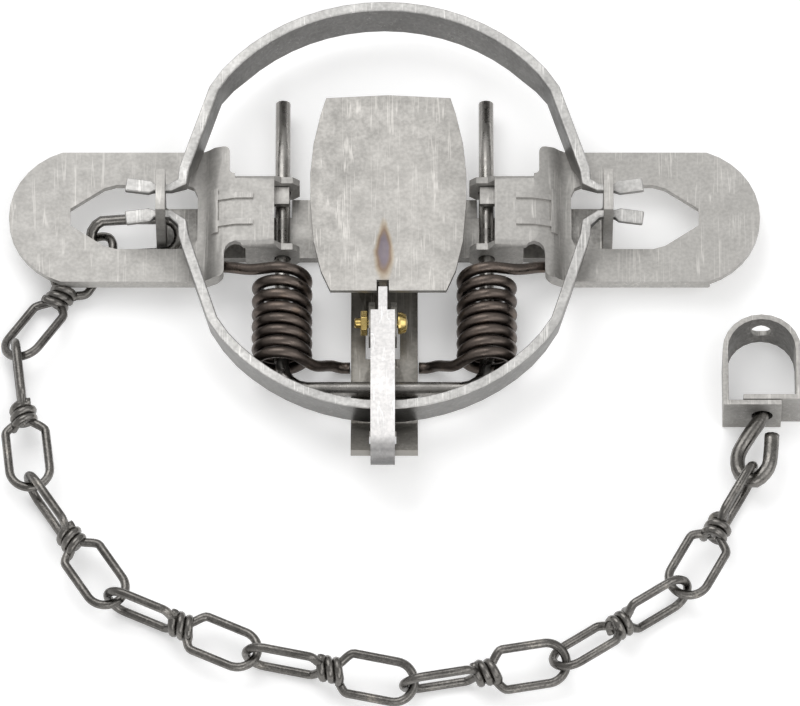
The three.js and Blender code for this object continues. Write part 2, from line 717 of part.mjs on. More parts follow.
// Coil spring on the right: outer leg under the lever tab, turns, foot against the cross plate
function springPoints() {
  const points = [];
  const place = (x, y, z) => points.push(new THREE.Vector3(x, y, z));
  const onCoil = (angle, y) => {
    const turn = radians(angle);
    place(rodSpread + springRadius * Math.sin(turn), y, springHeight + springRadius * Math.cos(turn));
  };
  const legStart = new THREE.Vector2(
    rodSpread + springRadius * Math.sin(radians(springLegDrop)),
    springHeight + springRadius * Math.cos(radians(springLegDrop)));
  const legSlope = Math.tan(radians(springLegDrop));
  const endSteps = 5;
  const turnLength = 2 * Math.PI * springRadius;
  const bent = (share) => Math.max(share - straightShare, 0) / (1 - straightShare);
  const legLength = Math.hypot(springLegEnd - legStart.x, (springLegEnd - legStart.x) * legSlope);
  for (let step = endSteps; step > 0; step -= 1) {
    const share = step / endSteps;
    const x = legStart.x + (springLegEnd - legStart.x) * share;
    const lead = coilShares[0] * springWire / turnLength * legLength * share;
    place(x, coilPlace(0) + lead + springLegSplay * bent(share), legStart.y - (x - legStart.x) * legSlope);
  }
  const count = Math.round(springSweep / fullTurn * springSteps);
  for (let step = 0; step <= count; step += 1) {
    const turned = springSweep * step / count;
    onCoil(springLegDrop - turned, coilPlace(turned));
  }
  const last = points[points.length - 1].clone();
  const footEnd = plateHalfWidth + seatGap;
  const footBend = footEnd + springWire;
  const footLength = Math.hypot(last.x - footBend, last.z - springFootHeight);
  const lead = coilShares[coilShares.length - 1] * springWire / turnLength;
  for (let step = 1; step <= endSteps; step += 1) {
    const share = step / endSteps;
    place(last.x + (footBend - last.x) * share,
      last.y - lead * footLength * share + springFootSplay * bent(share),
      last.z + (springFootHeight - last.z) * share);
  }
  place(footEnd, points[points.length - 1].y, springFootHeight);
  return points;
}

// Least distance between the surfaces of two coils of a spring
function selfGap(points, diameter) {
  const curve = new THREE.CurvePath();
  for (let index = 1; index < points.length; index += 1) {
    curve.add(new THREE.LineCurve3(points[index - 1], points[index]));
  }
  const spots = curve.getSpacedPoints(points.length * 6);
  const step = curve.getLength() / (points.length * 6);
  const skip = Math.ceil(diameter * 3 / step);
  let least = Infinity;
  for (let first = 0; first < spots.length; first += 1) {
    for (let second = first + skip; second < spots.length; second += 1) {
      least = Math.min(least, spots[first].distanceTo(spots[second]));
    }
  }
  return least - diameter;
}

// Jaw strip, a flared band from tip to tip; side is 1 for the rear jaw and -1 for the front jaw
function jaw(side) {
  const bowCentre = jawReach - jawBowRadius;
  const halfStrip = jawStrip / 2;
  const bow = arc(0, bowCentre, jawBowRadius - halfStrip, jawBowStart, 90, jawBowSteps / 2);
  const tip = (x, y) => ({
    x, y, top: pivotHeight + jawTipHeight / 2, height: jawTipHeight, strip: jawTipWidth,
  });
  const tongue = (x, y) => ({
    x, y, top: pivotHeight + jawTongueHeight / 2, height: jawTongueHeight, strip: jawTongueWidth,
  });
  const strip = (x, y, height) => ({ x, y, top: jawTop - jawDroop * y / jawReach, height, strip: jawStrip });
  const half = [
    tongue(jawTipReach, pivotSpread + jawTipWidth / 2), tongue(jawTongueStart, pivotSpread + weld / 2),
    tip(strapHalfLength + weld, pivotSpread),
    tip(strapHalfLength - strapThickness - weld * 3, pivotSpread),
    ...shankShares.map(([x, y, h]) => strip(x * jawHalfWidth - halfStrip, y * jawReach, h * jawShankHeight)),
    ...bow.map(([x, y], index) => strip(x, y, index ? jawHeight : (jawShankHeight + jawHeight) / 2)),
  ];
  const whole = [...half, ...half.slice(0, -1).reverse().map((station) => ({ ...station, x: -station.x }))];
  const lean = Math.tan(radians(jawFlare));
  const rings = whole.map((station, index) => {
    const before = whole[Math.max(index - 1, 0)];
    const after = whole[Math.min(index + 1, whole.length - 1)];
    const along = new THREE.Vector2(after.x - before.x, after.y - before.y).normalize();
    const out = new THREE.Vector2(along.y, -along.x);
    const reach = station.strip / 2;
    const drop = station.height > jawTipHeight ? lean * station.height : 0;
    const at = (across, z) => new THREE.Vector3(
      station.x + out.x * across, side * (station.y + out.y * across), z);
    const low = station.top - station.height;
    const ring = [
      at(reach, station.top), at(-reach, station.top), at(-reach - drop, low), at(reach - drop, low),
    ];
    return side > 0 ? ring.reverse() : ring;
  });
  return skin(rings);
}

// Chain ring through the left ear, rolled so that it passes the hole and the front edge of the ear
function chainRing(pivot) {
  const outer = pivot.x - (chainWire + ringWire + slackShares[0] * chainWire) / 2;
  const drop = ringHoleHeight - ringLow;
  const spread = earHalfWidth + ringWire / 2 + seatGap * 1.5;
  const loop = longLoop(ringInner - outer, Math.hypot(drop, spread), ringWire);
  loop.rotateX(-Math.atan2(drop, spread)).rotateZ(Math.PI);
  const tilt = ringDip / (ringInner - outer);
  const places = loop.getAttribute('position');
  for (let index = 0; index < places.count; index += 1) {
    places.setZ(index, places.getZ(index) + tilt * places.getX(index));
  }
  return loop.translate(ringInner, -spread / 2, (ringHoleHeight + ringLow) / 2 + ringDip / 4);
}

// Double-loop link along +X: start loop, knot of two turns and end loop, over a span of bar middles
function link(span, startRoll, endRoll, untwist, heights) {
  const roll = (geometry, rollAt) => {
    const places = geometry.getAttribute('position');
    for (let index = 0; index < places.count; index += 1) {
      const [x, y, z] = [places.getX(index), places.getY(index), places.getZ(index)];
      const angle = radians(rollAt(x));
      const share = Math.min(Math.max(x / span, 0), 1) * 2;
      const rise = share < 1 ? heights[0] + (heights[1] - heights[0]) * share
        : heights[1] + (heights[2] - heights[1]) * (share - 1);
      places.setXYZ(index, x, y * Math.cos(angle) - z * Math.sin(angle),
        y * Math.sin(angle) + z * Math.cos(angle) + rise);
    }
    return geometry;
  };
  const length = span / 2 + loopLap;
  const startLoop = roll(longLoop(length, loopWidth, chainWire),
    (x) => (untwist ? startRoll * Math.max(1 - Math.max(x, 0) / untwist, 0) : startRoll));
  const endLoop = roll(longLoop(length, loopWidth, chainWire).translate(span - length, 0, 0),
    () => endRoll);
  const knots = [-1, 1].map((side) => roll(new THREE.TorusGeometry(knotRadius, knotWire / 2, wireSides, 12)
    .rotateY(Math.PI / 2 - side * radians(12)).translate(span / 2 + side * knotWire / 2, 0, 0), () => 0));
  return joined(startLoop, endLoop, ...knots);
}

// Swivel eye: hooked round bar, shank through the bracket and head inside it
function swivelEye(pivot) {
  const shankX = pivot.x + eyeWidth * shankShare;
  const z = chainHeight;
  const faceY = pivot.y + eyeLength;
  const spot = (acrossShare, alongShare) => new THREE.Vector3(
    pivot.x + acrossShare * eyeWidth, pivot.y - eyeWire / 2 - seatGap + alongShare * eyeLength,
    z + acrossShare * eyeTilt * eyeWidth);
  const throughY = faceY + bracketThickness * 2 + seatGap;
  const points = [
    new THREE.Vector3(shankX, throughY + seatGap + weld, z),
    new THREE.Vector3(shankX, faceY, z),
    ...eyeShares.map(([across, along]) => spot(across, along)),
  ];
  const rod = rodAlong(points, eyeWire, 26, 5);
  const profile = [[0, 0], [eyeHeadRadius, 0], [eyeHeadRadius * 0.9, eyeHeadHeight / 2], [0, eyeHeadHeight]];
  const head = new THREE.LatheGeometry(profile.map(([r, y]) => new THREE.Vector2(r, y)), 16)
    .translate(shankX, throughY + seatGap, z);
  return joined(rod, head);
}

// Swivel bracket: strap bent to an arch, its ends lapped where the eye passes through
function bracket(pivot) {
  const middle = pivot.x + eyeWidth * shankShare;
  const front = pivot.y + eyeLength;
  const behind = front + bracketThickness + seatGap;
  const inside = behind + bracketThickness;
  const outer = bracketHalfWidth;
  const inner = outer - bracketThickness;
  const archY = front + bracketLength - outer;
  const outline = [
    [middle + outer, behind], ...arc(middle, archY, outer, 0, 180, 12),
    [middle - outer, front], [middle + bracketLap, front], [middle + bracketLap, front + bracketThickness],
    [middle - inner, front + bracketThickness], ...arc(middle, archY, inner, 180, 0, 12),
    [middle + inner, inside], [middle - bracketLap, inside], [middle - bracketLap, behind],
  ];
  const middleHeight = bracketHeight / 2 + seatGap / 2;
  const low = middleHeight - bracketHeight / 2;
  const strip = solidOf(flat(outline, low, low + bracketHeight));
  return cut(strip,
    bar('y', bracketHoleRadius, front - overrun, inside + overrun, middle, chainHeight, 16),
    bar('y', bracketHoleRadius, archY, archY + outer + overrun, middle, chainHeight, 16));
}

// The whole trap
const group = new THREE.Group();
group.name = 'leghold_trap';
function add(name, geometry, material) {
  geometry.deleteAttribute('normal');
  geometry.computeVertexNormals();
  const mesh = new THREE.Mesh(geometry, material);
  mesh.name = name;
  group.add(mesh);
  return mesh;
}

add('base_strap', baseStrap(), steel(platedColor));
add('cross_plate', crossPlate(), steel(platedColor));
add('plate_rivet_rear', rivet(rivetPlaces[0]), steel(platedColor));
add('plate_rivet_front', rivet(rivetPlaces[1]), steel(platedColor));
add('spring_rod', springRod(), steel(chainColor));
add('pan', geometryOf(solidOf(panPlate()).add(solidOf(panPost()))), steel(platedColor, 0.35));
add('pan_screw', panScrew(), brass());
add('pan_nut', panNut(), brass());
add('dog', dog(), steel(platedColor));
const rightLever = leverSolid();
add('lever_left', mirrored(rightLever), steel(platedColor));
add('lever_right', rightLever, steel(platedColor));
const springPath = springPoints();
console.log(`least gap between spring coils ${selfGap(springPath, springWire).toFixed(2)} mm`);
const rightSpring = wireThrough(springPath, springWire, springSides);
add('spring_left', mirrored(rightSpring), steel(springColor, 0.6));
add('spring_right', rightSpring, steel(springColor, 0.6));
add('jaw_front', jaw(-1), steel(jawColor, 0.3));
add('jaw_rear', jaw(1), steel(jawColor, 0.3));
const joints = [new THREE.Vector3(chainStartX, chainStartY, 0)];
headings.forEach((heading, index) => {
  const step = new THREE.Vector3(chainPitch * pitchShares[index], 0, 0);
  joints.push(step.applyAxisAngle(new THREE.Vector3(0, 0, 1), radians(heading)).add(joints[index]));
});
add('chain_ring', chainRing(joints[0]), steel(chainColor, 0.5));
startRolls.forEach((startRoll, index) => {
  const [from, to] = [joints[index], joints[index + 1]];
  const along = to.clone().sub(from);
  const slacks = [slackShares[index], slackShares[index + 1]];
  const [before, reach] = slacks.map((share) => chainWire * (1 + share) / 2);
  const first = index === 0;
  const heights = first ? [firstLinkStart, firstLinkKnot, firstLinkEnd]
    : [chainHeight, chainHeight, chainHeight];
  const span = along.length() + before + reach;
  const solid = link(span, startRoll, endRolls[index], first ? firstUntwist : 0, heights);
  const geometry = geometryOf(solid).rotateZ(Math.atan2(along.y, along.x));
  const start = from.clone().addScaledVector(along.clone().normalize(), -before);
  add(`chain_link_${index + 1}`, geometry.translate(start.x, start.y, 0), steel(chainColor, 0.5));
});
add('swivel_eye', geometryOf(swivelEye(joints[8])), steel(chainColor, 0.5));
add('swivel_bracket', geometryOf(bracket(joints[8])), steel(platedColor));

export default group;
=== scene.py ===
"""Looks of the leghold trap: plated sheet, dark springs and chain, brass screw, pale floor."""
import json
import math

import bpy
from mathutils import Matrix, Vector


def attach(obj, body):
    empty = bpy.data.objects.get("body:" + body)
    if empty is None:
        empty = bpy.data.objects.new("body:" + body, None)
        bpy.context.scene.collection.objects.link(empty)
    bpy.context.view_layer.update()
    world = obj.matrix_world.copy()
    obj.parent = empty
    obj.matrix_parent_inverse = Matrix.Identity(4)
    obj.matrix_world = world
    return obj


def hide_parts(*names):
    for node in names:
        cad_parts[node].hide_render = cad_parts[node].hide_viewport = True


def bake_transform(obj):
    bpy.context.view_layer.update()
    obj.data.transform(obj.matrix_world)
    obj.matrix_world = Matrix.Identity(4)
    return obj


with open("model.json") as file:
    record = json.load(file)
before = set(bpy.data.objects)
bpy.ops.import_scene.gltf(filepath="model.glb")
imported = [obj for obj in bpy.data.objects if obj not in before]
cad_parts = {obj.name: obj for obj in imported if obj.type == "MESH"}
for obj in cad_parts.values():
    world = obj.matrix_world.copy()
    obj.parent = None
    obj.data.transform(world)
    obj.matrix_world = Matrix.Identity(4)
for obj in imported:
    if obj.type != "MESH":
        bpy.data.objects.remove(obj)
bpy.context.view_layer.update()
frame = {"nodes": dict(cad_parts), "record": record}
nodes = frame["nodes"]
record_joints = {joint["name"]: joint for joint in frame["record"]["behaviour"]["joints"]}

MM = 0.001

# Camera, as the photograph sees the trap
VIEW_ELEVATION = math.radians(62)
VIEW_WIDTH = 253.2 * MM
VIEW_DISTANCE = 4.0
VIEW_RIGHT = 4.9 * MM
VIEW_UP = -37.8 * MM
SENSOR = 36.0
CLIP_START = 0.05

# Coil springs, the same wire as the solids but round
SPRING_WIRE = 3.6 * MM
SPRING_RADIUS = 7.8 * MM
SPRING_HEIGHT = 9.8 * MM
SPRING_SPREAD = 32.2 * MM
SPRING_REAR = -21.6 * MM
COIL_SHARES = [1.28, 1.36, 1.28, 1.125, 1.125, 1.125, 1.125]
SPRING_LEG_DROP = 24
SPRING_LEG_SPLAY = 2.3 * MM
SPRING_FOOT_DROP = 46
SPRING_FOOT_SPLAY = 4.5 * MM
STRAIGHT_SHARE = 0.28
SPRING_LEG_END = 52.2 * MM
SPRING_FOOT_END = 10.8 * MM
SPRING_FOOT_HEIGHT = 2.25 * MM
SPRING_STEPS = 40
SPRING_SIDES = 16
LEG_STEPS = 12
FOOT_SLOPE_SHARE = 0.94
FOOT_REACH_SHARES = (0.68, 0.35, 0.0)

# Chain links, two loops and a knot in one wire; rolls in degrees
LINK_WIRE = 2.8 * MM
LINK_WIDTH = 12.6 * MM
KNOT_RADIUS = 3.0 * MM
KNOT_WIRE = 2.8 * MM
KNOT_TURNS = 2.2
KNOT_LEAN = 0.22
KNOT_END = 2.6 * MM
KNOT_STEPS = 44
NECK_SHARE = 0.52
SHOULDER_START = 0.68
SHOULDER_END = 0.87
SHOULDER_STEPS = 8
STRAIGHT_SHARES = (0.35, 0.7, 1.0)
LOOP_STEPS = 14
LINK_SIDES = 10
LINK_COUNT = 8
SLACK_SHARES = [0.39, 0.47, 0.25, 0.29, 0.18, 0.21, 0.34, 0.29, 0.32]
START_ROLLS = [36, 90, 90, 90, 90, 100, -36, 0]
END_ROLLS = [27, 0, 0, 0, 28, 26, 76, 90]
FIRST_HEIGHTS = [5.1 * MM, 4.45 * MM, 7.6 * MM]
FIRST_UNTWIST = 12 * MM
CHAIN_HEIGHT = 7.9 * MM

# Rolled edges of the CAD nodes, in millimetres
BEVELS = {"base_strap": 0.35, "cross_plate": 0.3, "pan": 0.25, "dog": 0.35, "lever_left": 0.5,
          "lever_right": 0.5, "jaw_front": 0.45, "jaw_rear": 0.45, "swivel_bracket": 0.3,
          "plate_rivet_rear": 0.2, "plate_rivet_front": 0.2, "pan_screw": 0.15, "pan_nut": 0.3}
BEVEL_SEGMENTS = 2
BEVEL_ANGLE = math.radians(32)
FLAT_ANGLE = math.radians(1)
WELD_DISTANCE = 0.002 * MM

# A wire steeper than this has its section set out from Y, not Z
STEEP = 0.7

# Sockets of a colour mix node
MIX_FACTOR, MIX_LOW, MIX_HIGH, MIX_RESULT = 0, 6, 7, 2

# Where nearly all of a noise's values lie
NOISE_LOW = 0.3
NOISE_HIGH = 0.7

# Zinc plate: noise in cells to the metre, stops of place and shade
CLOUD_CELLS = 55
GRAIN_CELLS = 900
SHEEN_CELLS = 180
GRAIN_SHADES = [(0.35, 0.76), (0.65, 1.15)]
GRAIN_RELIEF = (0.4, 0.6)
RUBBED_GAIN = 1.7
RUBBED_EDGES = [(0.51, 0.0), (0.57, 0.4)]
# Painted shade: steep faces of plated sheet are darkened down to the given wall shade, while flat
# faces keep their colour
WALL_SHADE_STEEP = 0.1
WALL_SHADE_FLAT = 0.6
PLATE_SMOOTHER = 0.07
PLATE_ROUGHER = 0.09
PLATE_BUMP = (0.16, 0.2 * MM)

# Drawn wire, in the same units
PATCH_CELLS = 130
WIRE_GRAIN_CELLS = 1400
WIRE_SHEEN_CELLS = 420
PATCH_PLACES = (0.32, 0.62, 0.8)
WIRE_GAIN = 2.2
WIRE_EDGES = [(0.5, 0.0), (0.58, 0.5)]
WIRE_SMOOTHER = 0.1
WIRE_ROUGHER = 0.16
WIRE_BUMP = (0.22, 0.15 * MM)

# Turned brass, in the same units
BRASS_CLOUD_CELLS = 240
BRASS_SHEEN_CELLS = 700
BRASS_GRAIN_CELLS = 1500
BRASS_SHADES = ((0.50, 0.36, 0.12), (0.80, 0.62, 0.25))
BRASS_ROUGHNESS = (0.2, 0.36)
BRASS_BUMP = (0.12, 0.1 * MM)

# Painted light on the cross plate's lip: its faces that look to the front, made lighter
LIP_FACING = [(0.82, 0.0), (0.87, 1.0)]
LIP_PAINTED_LIGHT = (0.36, 0.345, 0.32)

# Heat mark on the pan
MARK_CENTRE = (0.3 * MM, -18.2 * MM)
MARK_HALF_WIDTH = 3.4 * MM
MARK_HALF_LENGTH = 11.5 * MM
MARK_WOBBLE = 0.9 * MM
MARK_CELLS = 260
MARK_TAPER = 0.9
MARK_SPREAD = 0.7
MARK_TINTS = [(0.0, (0.20, 0.17, 0.19)), (0.28, (0.17, 0.14, 0.17)),
              (0.45, (0.20, 0.13, 0.08)), (0.62, (0.36, 0.26, 0.14))]
MARK_AMOUNTS = [(0.0, 0.92), (0.45, 0.85), (0.62, 0.35), (0.74, 0.0)]

# Dog's curl, from its tip to where the arm's own colour starts
CURL_TIP = -93.2 * MM
CURL_REACH = 10 * MM
CURL_SHADES = [(0.0, 0.38), (0.45, 0.5), (0.75, 1.0)]

# Scratches on plated sheet: direction in degrees, density, width and share of the surface
SCRATCH_SETS = [(37, 520, 0.022, 0.5), (-52, 430, 0.02, 0.5), (84, 380, 0.018, 0.55)]
SCRATCH_LEVEL = 0.6
SCRATCH_STRETCH = 0.035
SCRATCH_FADE = 2.2
BREAK_CELLS = 90
BREAK_SOFTNESS = 0.05
SCRATCH_AMOUNT = 0.8

# Stage
FLOOR_HALF = 3.0
FLOOR_DROP = -0.05 * MM
FLOOR_GREY = 0.93
FLOOR_ROUGHNESS = 0.9
FLOOR_SPECULAR = 0.1
FLOOR_GLOW = 0.22
WORLD_STRENGTH = 0.62
LIGHTS = [("key", (-0.35, 0.5, 1.0), 1.0, 5), ("fill", (0.7, -0.4, 0.8), 1.0, 3),
          ("front", (0.1, -0.9, 0.5), 0.6, 1.5)]


def arc_between(start, end, steps):
    """Evenly spaced numbers from start to end, both included."""
    return [start + (end - start) * step / steps for step in range(steps + 1)]


def mesh_piece(name, verts, faces):
    """A smooth-shaded mesh object in the scene."""
    mesh = bpy.data.meshes.new(name)
    mesh.from_pydata(verts, [], faces)
    mesh.shade_smooth()
    piece = bpy.data.objects.new(name, mesh)
    bpy.context.scene.collection.objects.link(piece)
    return piece


def tube(name, points, radius, sides):
    """A round wire through points as a mesh object, its section free of twist."""
    last = len(points) - 1
    tangents = [(points[min(index + 1, last)] - points[max(index - 1, 0)]).normalized()
                for index in range(last + 1)]
    up = Vector((0, 0, 1)) if abs(tangents[0].z) < STEEP else Vector((0, 1, 0))
    side = up.cross(tangents[0]).normalized()
    rings = []
    for point, tangent in zip(points, tangents):
        side = (side - tangent * side.dot(tangent)).normalized()
        other = tangent.cross(side)
        ring = []
        for corner in range(sides):
            angle = 2 * math.pi * corner / sides
            ring.append(point + side * math.cos(angle) * radius + other * math.sin(angle) * radius)
        rings.append(ring)
    verts = [vert for ring in rings for vert in ring]
    faces = []
    for index in range(last):
        low, high = index * sides, (index + 1) * sides
        for corner in range(sides):
            beyond = (corner + 1) % sides
            faces.append((low + corner, low + beyond, high + beyond, high + corner))
    faces.append(tuple(reversed(range(sides))))
    faces.append(tuple(last * sides + corner for corner in range(sides)))
    return mesh_piece(name, verts, faces)


def join(name, pieces):
    """Several mesh objects as one."""
    verts, faces = [], []
    for piece in pieces:
        base = len(verts)
        verts.extend(vert.co.copy() for vert in piece.data.vertices)
        for face in piece.data.polygons:
            faces.append(tuple(base + corner for corner in face.vertices))
        bpy.data.objects.remove(piece)
    return mesh_piece(name, verts, faces)


# Materials

class Nodes:
    """A short way to add and link shader nodes."""

    def __init__(self, name):
        self.material = bpy.data.materials.new(name)
        self.material.use_nodes = True
        self.tree = self.material.node_tree
        self.shader = self.tree.nodes["Principled BSDF"]

    def add(self, kind, inputs=None, **settings):
        """A node with its settings, each input linked to a socket or set to a value."""
        node = self.tree.nodes.new(kind)
        for key, value in settings.items():
            setattr(node, key, value)
        for key, value in (inputs or {}).items():
            if isinstance(value, bpy.types.NodeSocket):
                self.tree.links.new(value, node.inputs[key])
            else:
                node.inputs[key].default_value = value
        return node

    def place(self, turn=(0, 0, 0), scale=(1, 1, 1)):
        """The point on the piece in metres, turned and scaled."""
        coords = self.add("ShaderNodeTexCoord")
        mapping = self.add("ShaderNodeMapping", {
            "Vector": coords.outputs["Object"], "Rotation": turn, "Scale": scale})
        return mapping.outputs["Vector"]

    def noise(self, scale, detail=3.0, turn=(0, 0, 0), stretch=(1, 1, 1)):
        """Noise between nought and one, scale cells to the metre."""
        node = self.add("ShaderNodeTexNoise", {
            "Vector": self.place(turn, stretch), "Scale": scale, "Detail": detail})
        return node.outputs["Fac"]

    def ramp(self, value, stops):
        """A colour or grey read from stops of place and colour."""
        node = self.add("ShaderNodeValToRGB", {"Fac": value})
        elements = node.color_ramp.elements
        while len(elements) < len(stops):
            elements.new(0.5)
        for element, (place, colour) in zip(elements, stops):
            element.position = place
            shade = colour if isinstance(colour, tuple) else (colour, colour, colour)
            element.color = (*shade, 1)
        return node.outputs["Color"]

    def spread(self, value, low, high):
        """Noise read as a colour or grey from low to high."""
        return self.ramp(value, [(NOISE_LOW, low), (NOISE_HIGH, high)])

    def axes(self, output):
        """The x, y and z of a texture coordinate."""
        coords = self.add("ShaderNodeTexCoord")
        return self.add("ShaderNodeSeparateXYZ", {0: coords.outputs[output]}).outputs

    def mix(self, factor, low, high, blend="MIX"):
        """Two colours mixed; a factor, value or colour may be a number or a socket."""
        node = self.add("ShaderNodeMix", data_type="RGBA", blend_type=blend)
        for key, value in ((MIX_FACTOR, factor), (MIX_LOW, low), (MIX_HIGH, high)):
            if isinstance(value, bpy.types.NodeSocket):
                self.tree.links.new(value, node.inputs[key])
            else:
                node.inputs[key].default_value = (*value, 1) if isinstance(value, tuple) else value
        return node.outputs[MIX_RESULT]

    def maths(self, operation, first, second=0.0):
        """One sum of two numbers or sockets."""
        node = self.add("ShaderNodeMath", {0: first, 1: second}, operation=operation)
        return node.outputs[0]

    def finish(self, colour, roughness, height, strength, distance, metallic=1.0):
        """The material, with its colour, roughness and bump joined to the shader."""
        bump = self.add("ShaderNodeBump", {
            "Height": height, "Strength": strength, "Distance": distance})
        self.tree.links.new(colour, self.shader.inputs["Base Color"])
        self.tree.links.new(roughness, self.shader.inputs["Roughness"])
        self.tree.links.new(bump.outputs["Normal"], self.shader.inputs["Normal"])
        self.shader.inputs["Metallic"].default_value = metallic
        return self.material


def scratches(m, turn, density, width, share):
    """Fine lines in one direction, one where the surface is scratched and nought elsewhere."""
    turned = (0, 0, math.radians(turn))
    lines = m.noise(density, detail=1.5, turn=turned, stretch=(1, SCRATCH_STRETCH, 1))
    breaks = m.noise(BREAK_CELLS, detail=2.0, turn=turned)
    thin = m.ramp(lines, [(SCRATCH_LEVEL, 0.0), (SCRATCH_LEVEL + width, 1.0),
                          (SCRATCH_LEVEL + SCRATCH_FADE * width, 0.0)])
    patchy = m.ramp(breaks, [(share - BREAK_SOFTNESS, 0.0), (share + BREAK_SOFTNESS, 1.0)])
    return m.mix(1.0, thin, patchy, "MULTIPLY")


def brighter(colour, gain):
    """A colour times gain, held to white."""
    return tuple(min(channel * gain, 1.0) for channel in colour)


def rubbed(m, colour, stops, bright):
    """The colour with its outward edges rubbed bright."""
    geometry = m.add("ShaderNodeNewGeometry")
    return m.mix(m.ramp(geometry.outputs["Pointiness"], stops), colour, bright)


def plated(name, dark, light, rough=0.5, mark=None, wall_shade=0.5, metallic=0.9):
    """Zinc-plated sheet: cloudy mottling, scattered scratches, painted shade on its steep faces
    and rubbed edges.
    """
    m = Nodes(name)
    fine = m.noise(GRAIN_CELLS)
    colour = m.spread(m.noise(CLOUD_CELLS, detail=4.0), dark, light)
    colour = m.mix(1.0, colour, m.ramp(fine, GRAIN_SHADES), "MULTIPLY")
    lines, *others = [scratches(m, *numbers) for numbers in SCRATCH_SETS]
    for other in others:
        lines = m.mix(1.0, lines, other, "ADD")
    bright = brighter(light, RUBBED_GAIN)
    colour = m.mix(m.maths("MULTIPLY", lines, SCRATCH_AMOUNT), colour, bright)
    # Painted shade: the steeper a face, the darker it is painted, as if lit from above
    flatness = m.maths("ABSOLUTE", m.axes("Normal")["Z"])
    painted_wall_shade = m.ramp(flatness, [(WALL_SHADE_STEEP, wall_shade), (WALL_SHADE_FLAT, 1.0)])
    colour = m.mix(1.0, colour, painted_wall_shade, "MULTIPLY")
    colour = rubbed(m, colour, RUBBED_EDGES, bright)
    if mark:
        colour = mark(m, colour)
    roughness = m.spread(m.noise(SHEEN_CELLS, detail=4.0),
                         rough - PLATE_SMOOTHER, rough + PLATE_ROUGHER)
    height = m.mix(0.5, m.spread(fine, *GRAIN_RELIEF), lines)
    return m.finish(colour, roughness, height, *PLATE_BUMP, metallic)


def heat_mark(m, colour):
    """The pan's weld mark: straw, brown and blue-grey rings drawn out towards the rear."""
    axes = m.axes("Object")
    wobble = m.maths("MULTIPLY", m.noise(MARK_CELLS, detail=2.0), MARK_WOBBLE)
    offset = m.maths("ADD", m.maths("SUBTRACT", axes["X"], MARK_CENTRE[0]), wobble)
    across = m.maths("DIVIDE", offset, MARK_HALF_WIDTH)
    along = m.maths("DIVIDE", m.maths("SUBTRACT", axes["Y"], MARK_CENTRE[1]), MARK_HALF_LENGTH)
    rearward = m.maths("MAXIMUM", along, 0.0)
    narrow = m.maths("ADD", 1.0, m.maths("MULTIPLY", rearward, MARK_TAPER))
    across = m.maths("MULTIPLY", across, narrow)
    squares = m.maths("ADD", m.maths("MULTIPLY", across, across),
                      m.maths("MULTIPLY", along, along))
    reach = m.maths("MULTIPLY", m.maths("SQRT", squares), MARK_SPREAD)
    return m.mix(m.ramp(reach, MARK_AMOUNTS), colour, m.ramp(reach, MARK_TINTS))


def curl_shade(m, colour):
    """The dog's curl, greyer than its arm."""
    reach = m.maths("DIVIDE", m.maths("SUBTRACT", m.axes("Object")["Y"], CURL_TIP), CURL_REACH)
    return m.mix(1.0, colour, m.ramp(reach, CURL_SHADES), "MULTIPLY")


def lip_front_light(m, colour):
    """Painted light on the cross plate's lip: its faces that look to the front are made lighter,
    as if catching the lamp.
    """
    front = m.ramp(m.maths("MULTIPLY", m.axes("Normal")["Y"], -1.0), LIP_FACING)
    return m.mix(front, colour, LIP_PAINTED_LIGHT)


def dark_steel(name, dark, light, rust, rough=0.34, grain=(0.75, 1.15)):
    """Dark drawn wire: drawing lines, patches of brown and a soft sheen."""
    m = Nodes(name)
    fine = m.noise(WIRE_GRAIN_CELLS)
    patches = m.noise(PATCH_CELLS, detail=4.0)
    colour = m.ramp(patches, list(zip(PATCH_PLACES, (dark, light, rust))))
    colour = m.mix(1.0, colour, m.spread(fine, *grain), "MULTIPLY")
    colour = rubbed(m, colour, WIRE_EDGES, brighter(light, WIRE_GAIN))
    roughness = m.spread(m.noise(WIRE_SHEEN_CELLS), rough - WIRE_SMOOTHER, rough + WIRE_ROUGHER)
    return m.finish(colour, roughness, fine, *WIRE_BUMP)


def brass_metal():
    """Turned brass with light handling marks."""
    m = Nodes("brass_turned")
    colour = m.spread(m.noise(BRASS_CLOUD_CELLS), *BRASS_SHADES)
    roughness = m.spread(m.noise(BRASS_SHEEN_CELLS, detail=2.0), *BRASS_ROUGHNESS)
    return m.finish(colour, roughness, m.noise(BRASS_GRAIN_CELLS, detail=2.0), *BRASS_BUMP)


